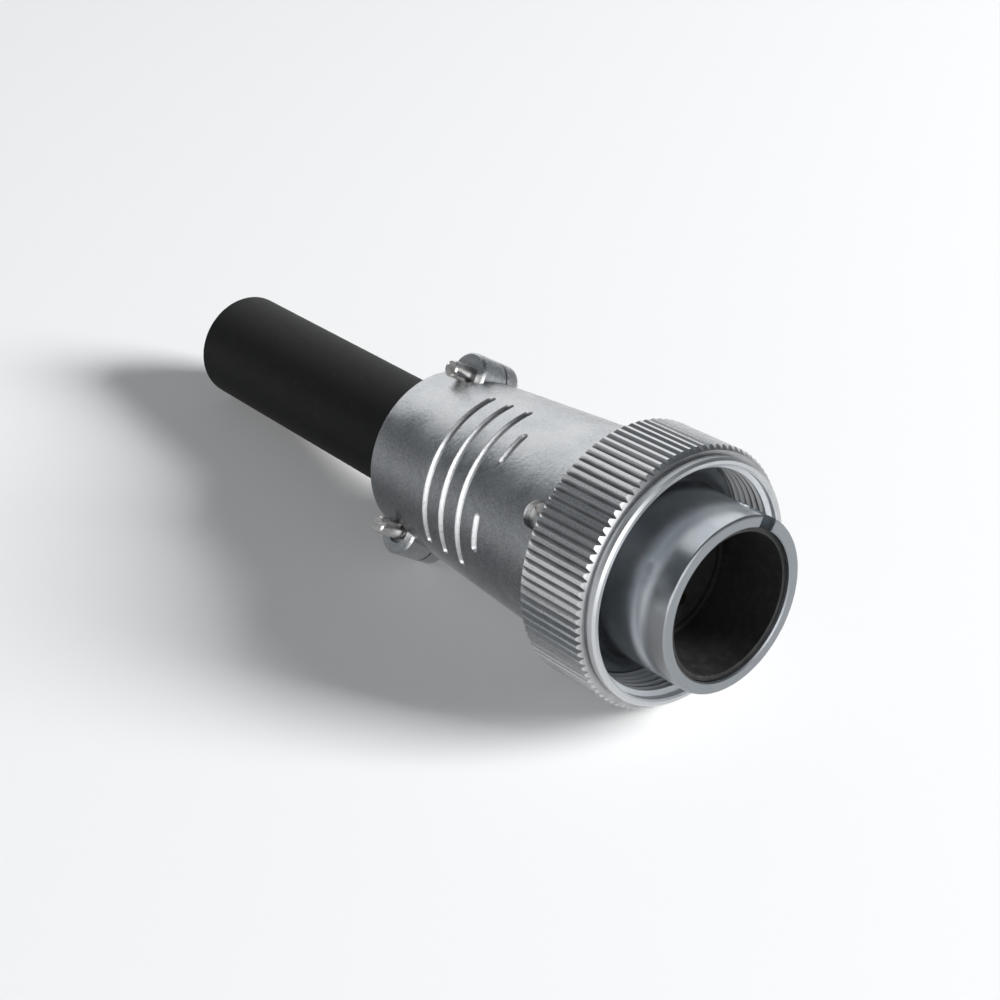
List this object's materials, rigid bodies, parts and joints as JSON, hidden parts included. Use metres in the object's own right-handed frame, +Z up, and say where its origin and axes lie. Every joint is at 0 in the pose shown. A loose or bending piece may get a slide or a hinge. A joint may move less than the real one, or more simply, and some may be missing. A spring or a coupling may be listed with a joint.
{
  "type": "circular connector",
  "caption": "Circular cable plug with a knurled screw coupling nut, tapered metal back shell, two-screw cable clamp and black rubber sleeve, lying on its side.",
  "frame": {"origin": "middle of the bounding box in X and Y, on the surface that the connector lies on", "axes": "+X towards the plug's open front and level, +Z up, +Y to the left of somebody who looks along +X; the connector's own axis rises towards the front by the angle at which the nut, the lower lug and the sleeve's end touch the surface"},
  "size_m": [0.1522, 0.05, 0.0513],
  "materials": {
    "plated_casting": "satin",
    "plated_nut": "satin",
    "screw_steel": "bright",
    "black_insulator": "satin",
    "contact_brass": "bright",
    "black_rubber": "matte"
  },
  "bodies": {
    "plug": {"back_shell": "plated_casting", "cable_sleeve": "black_rubber", "clamp_saddle": "plated_casting", "clamp_screw_lower": "screw_steel", "clamp_screw_upper": "screw_steel", "contact_1": "contact_brass", "contact_2": "contact_brass", "contact_3": "contact_brass", "contact_4": "contact_brass", "contact_5": "contact_brass", "contact_6": "contact_brass", "contact_7": "contact_brass", "front_insulator": "black_insulator", "plug_shell": "plated_casting", "rear_insulator": "black_insulator", "retaining_ring": "plated_casting", "set_screw": "screw_steel", "shell_gasket": "black_rubber", "thrust_washer": "screw_steel"},
    "nut": {"coupling_nut": "plated_nut"}
  },
  "joints": [
    {"name": "nut_turn", "type": "hinge", "parent": "plug", "child": "nut", "pos_m": [0.05576, 0, 0.02581], "axis": [0.9922, 0, 0.1243], "continuous": true}
  ]
}
